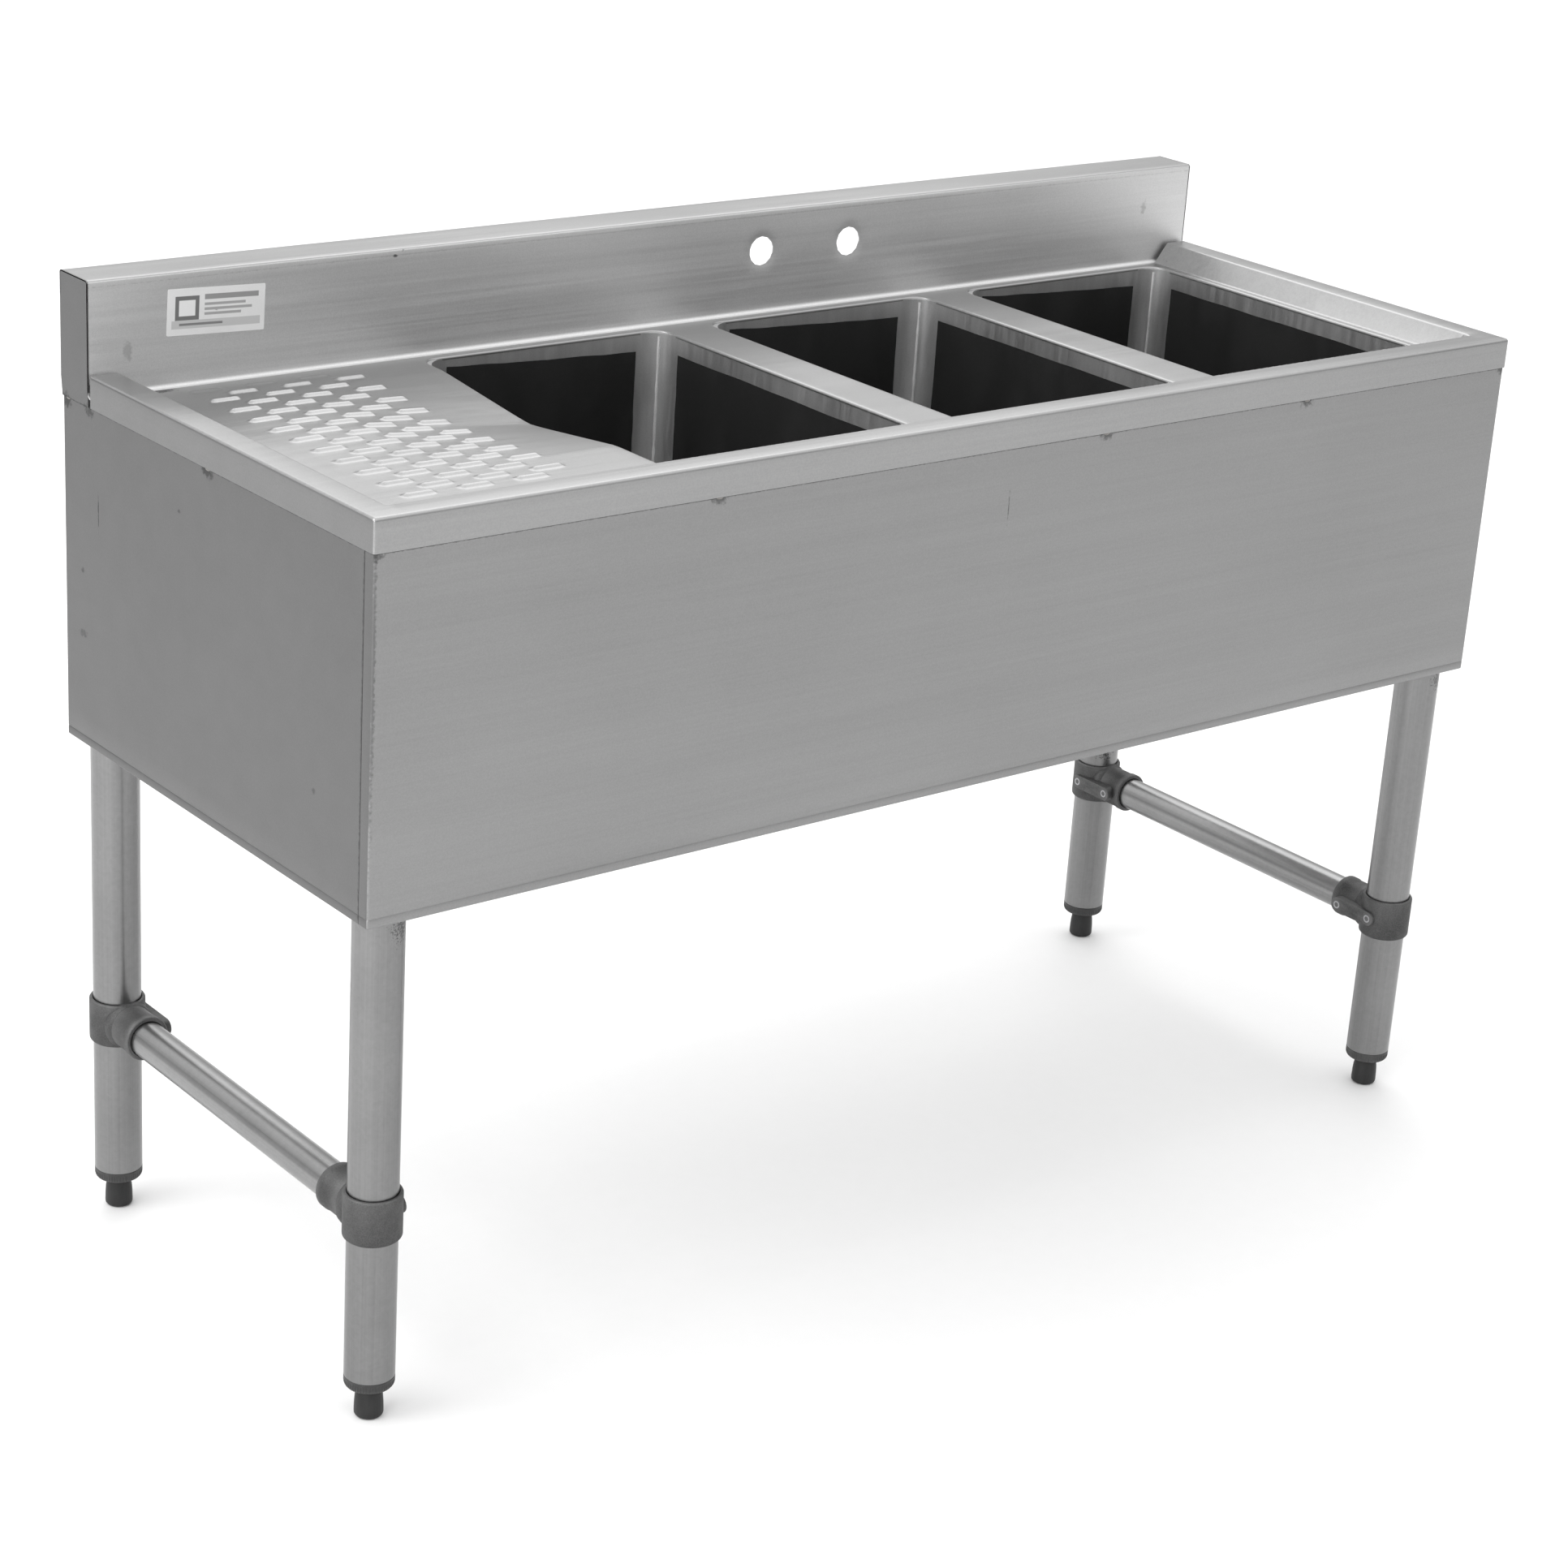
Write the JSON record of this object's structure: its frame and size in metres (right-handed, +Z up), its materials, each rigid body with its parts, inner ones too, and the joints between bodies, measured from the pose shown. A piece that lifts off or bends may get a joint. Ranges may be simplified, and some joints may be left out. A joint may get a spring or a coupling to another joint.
{
  "type": "three compartment underbar sink",
  "caption": "Stainless underbar sink with deep bowls, left drainboard, backsplash with faucet holes, tube legs, cast brace tees, screw-adjustable feet and lift-out strainer baskets.",
  "frame": {"origin": "on the floor, under the middle of the sink's bounding box", "axes": "+X along the front towards the right end, +Y from the front to the splash, +Z up"},
  "size_m": [1.2192, 0.4762, 0.8382],
  "materials": {
    "steel_sheet": "satin, number 4 brushed grain along the length",
    "bowl_steel": "satin",
    "drain_steel": "polished satin",
    "galvanised_tube": "galvanised, faintly streaked",
    "grey_casting": "rough as-cast grey",
    "zinc_fastener": "zinc plated",
    "chromed_brass": "bright",
    "dark_plastic": "moulded, dull",
    "black_rubber": "dull",
    "fibre": "pressed fibre",
    "black_film": "thin protective film",
    "white_label": "printed sticker"
  },
  "bodies": {
    "sink": {"backsplash": "steel_sheet", "bowl_1": "bowl_steel", "bowl_2": "bowl_steel", "bowl_3": "bowl_steel", "bowl_films": "black_film", "coupling_nuts": "chromed_brass", "cross_brace_left": "galvanised_tube", "cross_brace_right": "galvanised_tube", "deck": "steel_sheet", "drain_body_1": "drain_steel", "drain_body_2": "drain_steel", "drain_body_3": "drain_steel", "drain_gaskets": "black_rubber", "drain_locknuts": "zinc_fastener", "foot_insert_back_left": "dark_plastic", "foot_insert_back_right": "dark_plastic", "foot_insert_front_left": "dark_plastic", "foot_insert_front_right": "dark_plastic", "friction_washers": "fibre", "front_apron": "steel_sheet", "leg_back_left": "galvanised_tube", "leg_back_right": "galvanised_tube", "leg_channel_left": "steel_sheet", "leg_channel_right": "steel_sheet", "leg_front_left": "galvanised_tube", "leg_front_right": "galvanised_tube", "leg_socket_back_left": "steel_sheet", "leg_socket_back_right": "steel_sheet", "leg_socket_front_left": "steel_sheet", "leg_socket_front_right": "steel_sheet", "maker_label": "white_label", "rear_rail": "steel_sheet", "side_apron_left": "steel_sheet", "side_apron_right": "steel_sheet", "socket_screws": "zinc_fastener", "splash_end_left": "steel_sheet", "splash_end_right": "steel_sheet", "tack_welds": "steel_sheet", "tailpieces": "chromed_brass", "tee_back_left": "grey_casting", "tee_back_right": "grey_casting", "tee_front_left": "grey_casting", "tee_front_right": "grey_casting", "tee_screws": "zinc_fastener"},
    "stud_front_left": {"foot_stud_front_left": "zinc_fastener"},
    "foot_front_left": {"foot_front_left": "dark_plastic"},
    "stud_front_right": {"foot_stud_front_right": "zinc_fastener"},
    "foot_front_right": {"foot_front_right": "dark_plastic"},
    "stud_back_left": {"foot_stud_back_left": "zinc_fastener"},
    "foot_back_left": {"foot_back_left": "dark_plastic"},
    "stud_back_right": {"foot_stud_back_right": "zinc_fastener"},
    "foot_back_right": {"foot_back_right": "dark_plastic"},
    "basket_1": {"strainer_basket_1": "drain_steel", "basket_stopper_1": "black_rubber"},
    "basket_2": {"strainer_basket_2": "drain_steel", "basket_stopper_2": "black_rubber"},
    "basket_3": {"strainer_basket_3": "drain_steel", "basket_stopper_3": "black_rubber"}
  },
  "joints": [
    {"name": "foot_travel_front_left", "type": "slide", "parent": "sink", "child": "stud_front_left", "axis": [0, 0, -1], "range_m": [0, 0.0254]},
    {"name": "foot_turn_front_left", "type": "hinge", "parent": "stud_front_left", "child": "foot_front_left", "pos_m": [-0.5796, -0.20813, 0], "axis": [0, 0, -1], "range_deg": [0, 4680]},
    {"name": "foot_travel_front_right", "type": "slide", "parent": "sink", "child": "stud_front_right", "axis": [0, 0, -1], "range_m": [0, 0.0254]},
    {"name": "foot_turn_front_right", "type": "hinge", "parent": "stud_front_right", "child": "foot_front_right", "pos_m": [0.5796, -0.20813, 0], "axis": [0, 0, -1], "range_deg": [0, 4680]},
    {"name": "foot_travel_back_left", "type": "slide", "parent": "sink", "child": "stud_back_left", "axis": [0, 0, -1], "range_m": [0, 0.0254]},
    {"name": "foot_turn_back_left", "type": "hinge", "parent": "stud_back_left", "child": "foot_back_left", "pos_m": [-0.5796, 0.20813, 0], "axis": [0, 0, -1], "range_deg": [0, 4680]},
    {"name": "foot_travel_back_right", "type": "slide", "parent": "sink", "child": "stud_back_right", "axis": [0, 0, -1], "range_m": [0, 0.0254]},
    {"name": "foot_turn_back_right", "type": "hinge", "parent": "stud_back_right", "child": "foot_back_right", "pos_m": [0.5796, 0.20813, 0], "axis": [0, 0, -1], "range_deg": [0, 4680]},
    {"name": "basket_lift_1", "type": "slide", "parent": "sink", "child": "basket_1", "axis": [0, 0, 1], "range_m": [0, 0.34]},
    {"name": "basket_lift_2", "type": "slide", "parent": "sink", "child": "basket_2", "axis": [0, 0, 1], "range_m": [0, 0.34]},
    {"name": "basket_lift_3", "type": "slide", "parent": "sink", "child": "basket_3", "axis": [0, 0, 1], "range_m": [0, 0.34]}
  ],
  "couplings": [
    {"joint": "foot_turn_front_left", "follows": "foot_travel_front_left", "rad_per_m": 3215.8},
    {"joint": "foot_turn_front_right", "follows": "foot_travel_front_right", "rad_per_m": 3215.8},
    {"joint": "foot_turn_back_left", "follows": "foot_travel_back_left", "rad_per_m": 3215.8},
    {"joint": "foot_turn_back_right", "follows": "foot_travel_back_right", "rad_per_m": 3215.8}
  ]
}
